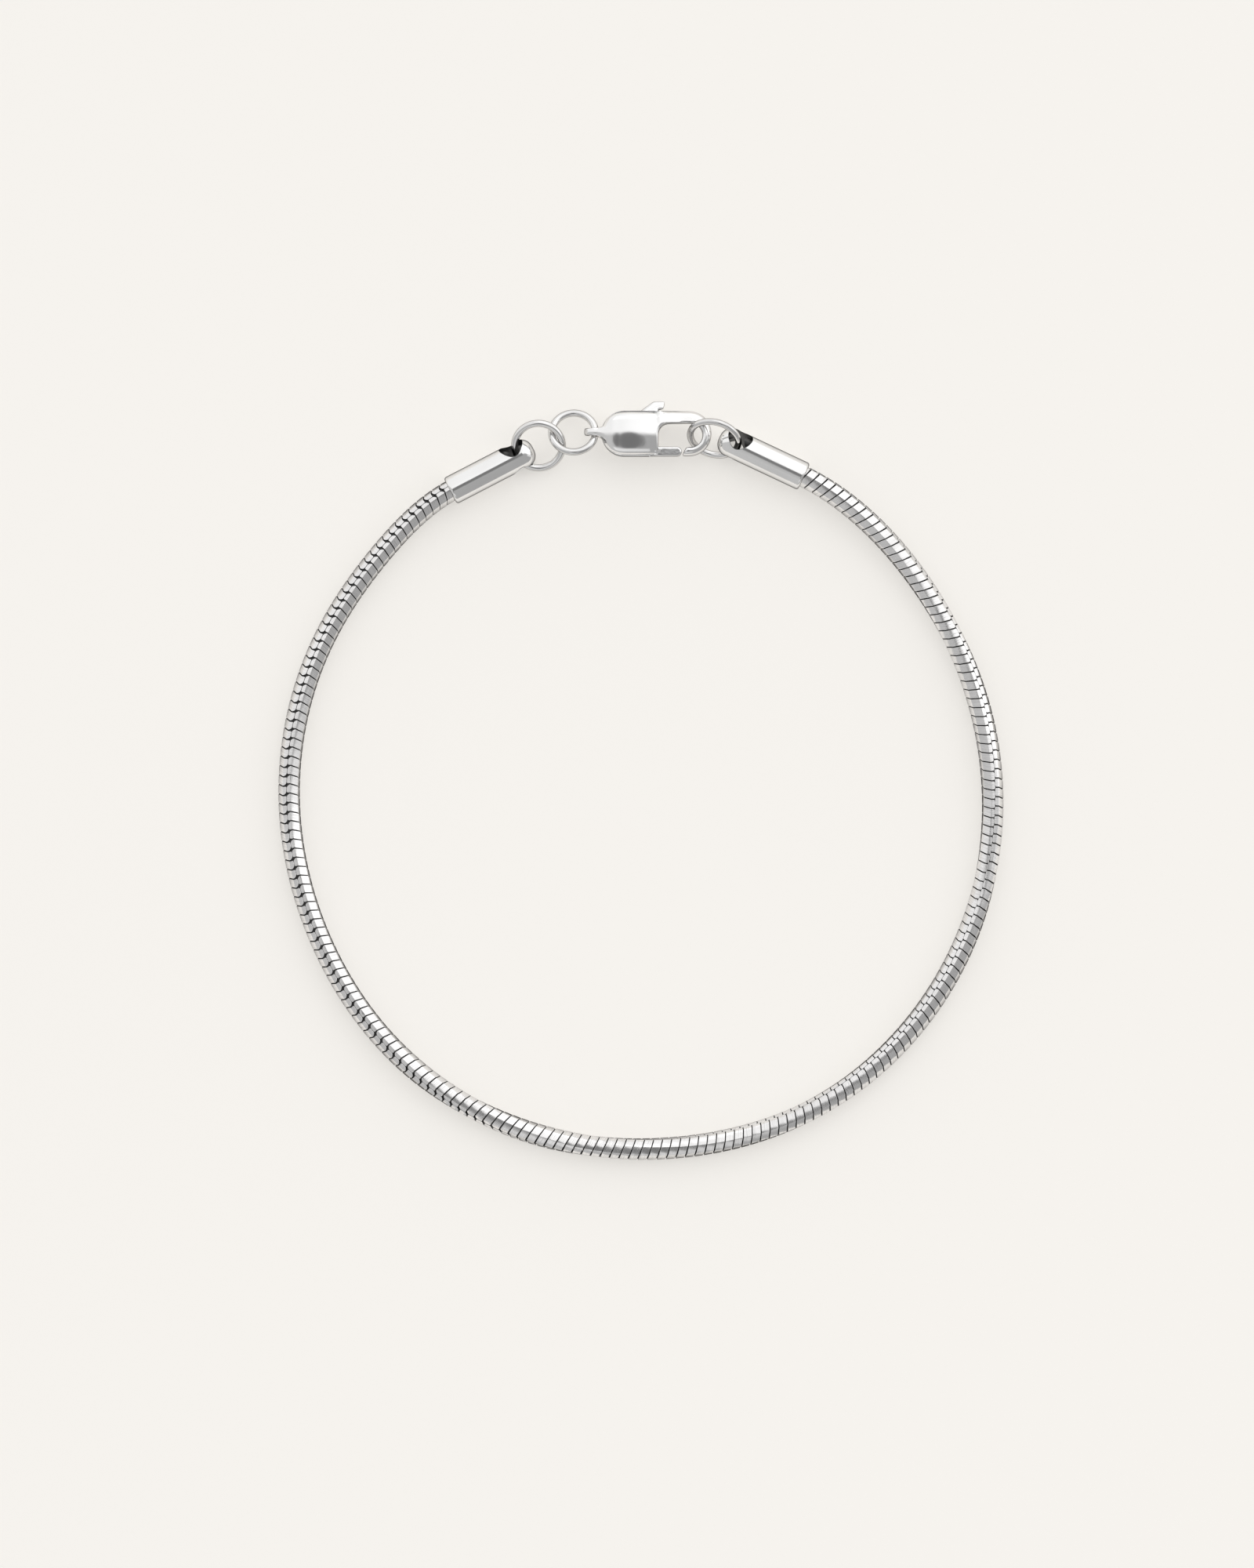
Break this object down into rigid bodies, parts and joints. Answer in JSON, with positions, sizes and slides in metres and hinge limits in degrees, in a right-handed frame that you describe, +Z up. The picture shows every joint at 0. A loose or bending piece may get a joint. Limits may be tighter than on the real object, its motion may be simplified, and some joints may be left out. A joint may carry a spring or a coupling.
{
  "type": "snake chain bracelet",
  "caption": "Closed round snake chain bracelet with tube end caps, jump rings and a lobster clasp whose gate opens, lying flat.",
  "frame": {"origin": "middle of the wrist opening, on the surface that the bracelet lies on", "axes": "+Z up out of the surface; +Y towards the clasp; +X to the right with the clasp at the top"},
  "size_m": [0.0685, 0.0716, 0.0043],
  "materials": {
    "chain_metal": "polished, rhodium-white precious metal",
    "fitting_metal": "polished, rhodium-white precious metal"
  },
  "bodies": {
    "bracelet": {"snake_chain": "chain_metal", "end_cap_left": "fitting_metal", "end_cap_right": "fitting_metal", "jump_ring_1": "fitting_metal", "jump_ring_2": "fitting_metal", "jump_ring_3": "fitting_metal", "clasp_body": "fitting_metal", "clasp_pin": "fitting_metal"},
    "lever": {"clasp_lever": "fitting_metal"}
  },
  "joints": [
    {"name": "gate", "type": "hinge", "parent": "bracelet", "child": "lever", "pos_m": [0.00053, 0.03393, 0.0019], "axis": [0, 0, 1], "range_deg": [0, 22], "stiffness_Nm_per_rad": 0.005, "springref_deg": -9.74}
  ]
}
